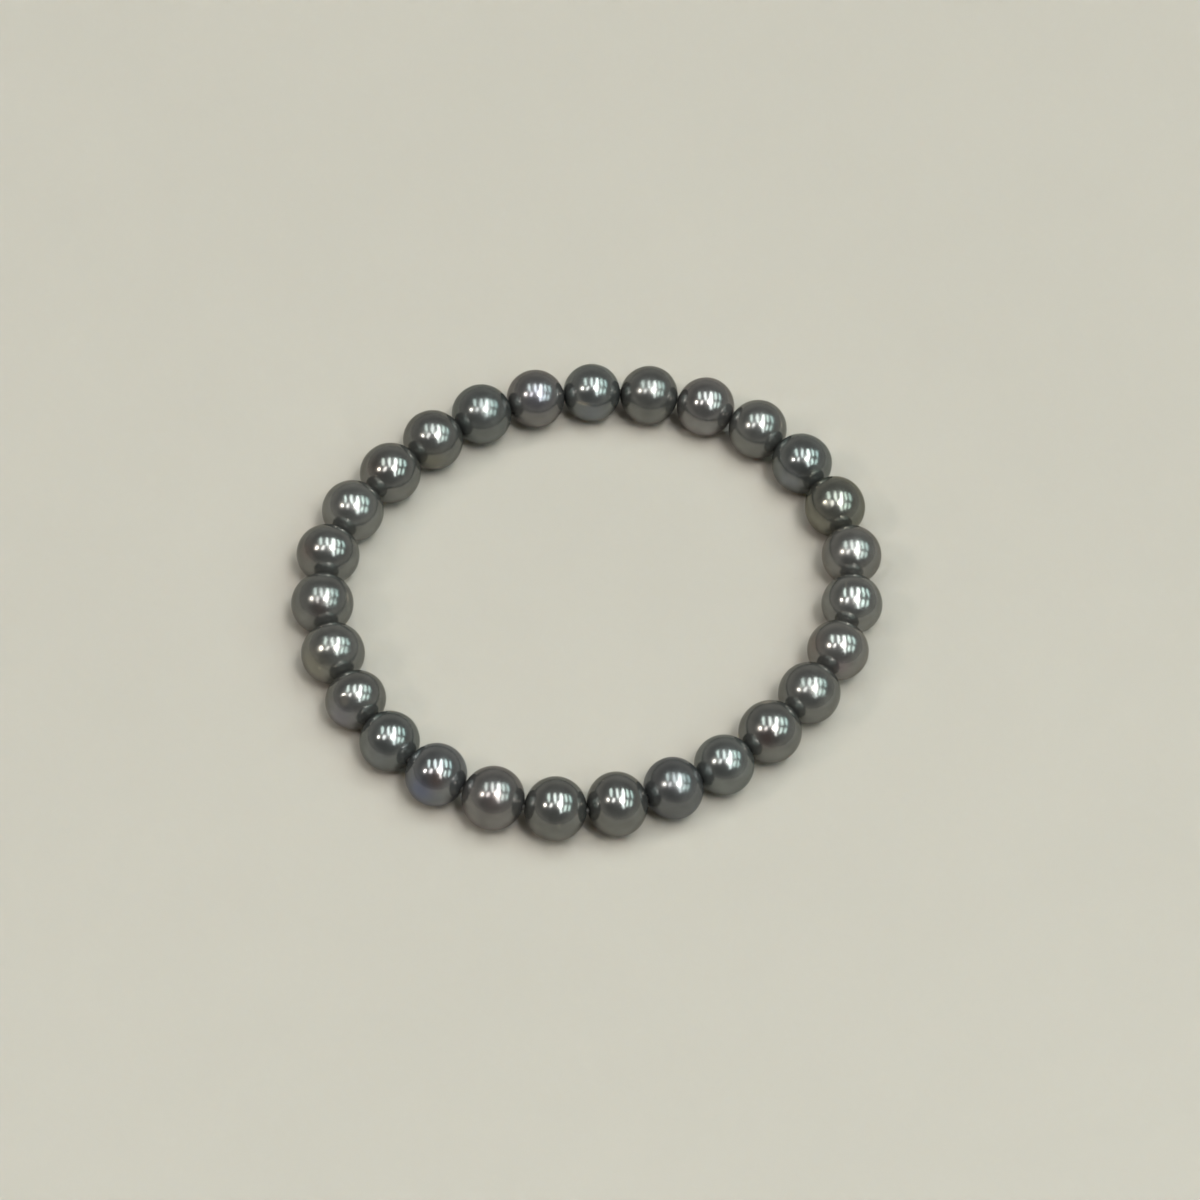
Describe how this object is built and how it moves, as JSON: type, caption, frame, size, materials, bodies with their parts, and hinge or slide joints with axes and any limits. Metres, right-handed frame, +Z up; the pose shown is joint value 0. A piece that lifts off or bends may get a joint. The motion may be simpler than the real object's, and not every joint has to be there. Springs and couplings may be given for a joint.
{
  "type": "pearl bracelet",
  "caption": "Stretch bracelet of drilled, near-round dark grey pearls on an elastic thread, lying flat in a closed loop that a hand passes through.",
  "frame": {"origin": "on the surface that the bracelet lies on, under the middle of its overall box", "axes": "+Z up, square to the plane of the loop; +Y towards the first pearl's side of the loop, which is the far side in the picture; +X to the right"},
  "size_m": [0.0706, 0.07, 0.0076],
  "materials": {
    "nacre_grey": "polished",
    "nacre_teal": "polished",
    "nacre_blue": "polished",
    "nacre_mauve": "polished",
    "nacre_taupe": "polished",
    "nacre_olive": "polished",
    "elastic": "satin"
  },
  "bodies": {
    "root": {"pearl_01": "nacre_teal", "pearl_02": "nacre_grey", "pearl_03": "nacre_mauve", "pearl_04": "nacre_grey", "pearl_05": "nacre_teal", "pearl_06": "nacre_olive", "pearl_07": "nacre_taupe", "pearl_08": "nacre_grey", "pearl_09": "nacre_taupe", "pearl_10": "nacre_grey", "pearl_11": "nacre_grey", "pearl_12": "nacre_teal", "pearl_13": "nacre_blue", "pearl_14": "nacre_grey", "pearl_15": "nacre_grey", "pearl_16": "nacre_mauve", "pearl_17": "nacre_blue", "pearl_18": "nacre_teal", "pearl_19": "nacre_grey", "pearl_20": "nacre_grey", "pearl_21": "nacre_grey", "pearl_22": "nacre_grey", "pearl_23": "nacre_grey", "pearl_24": "nacre_grey", "pearl_25": "nacre_grey", "pearl_26": "nacre_teal", "pearl_27": "nacre_mauve", "elastic_thread": "elastic"}
  },
  "joints": []
}
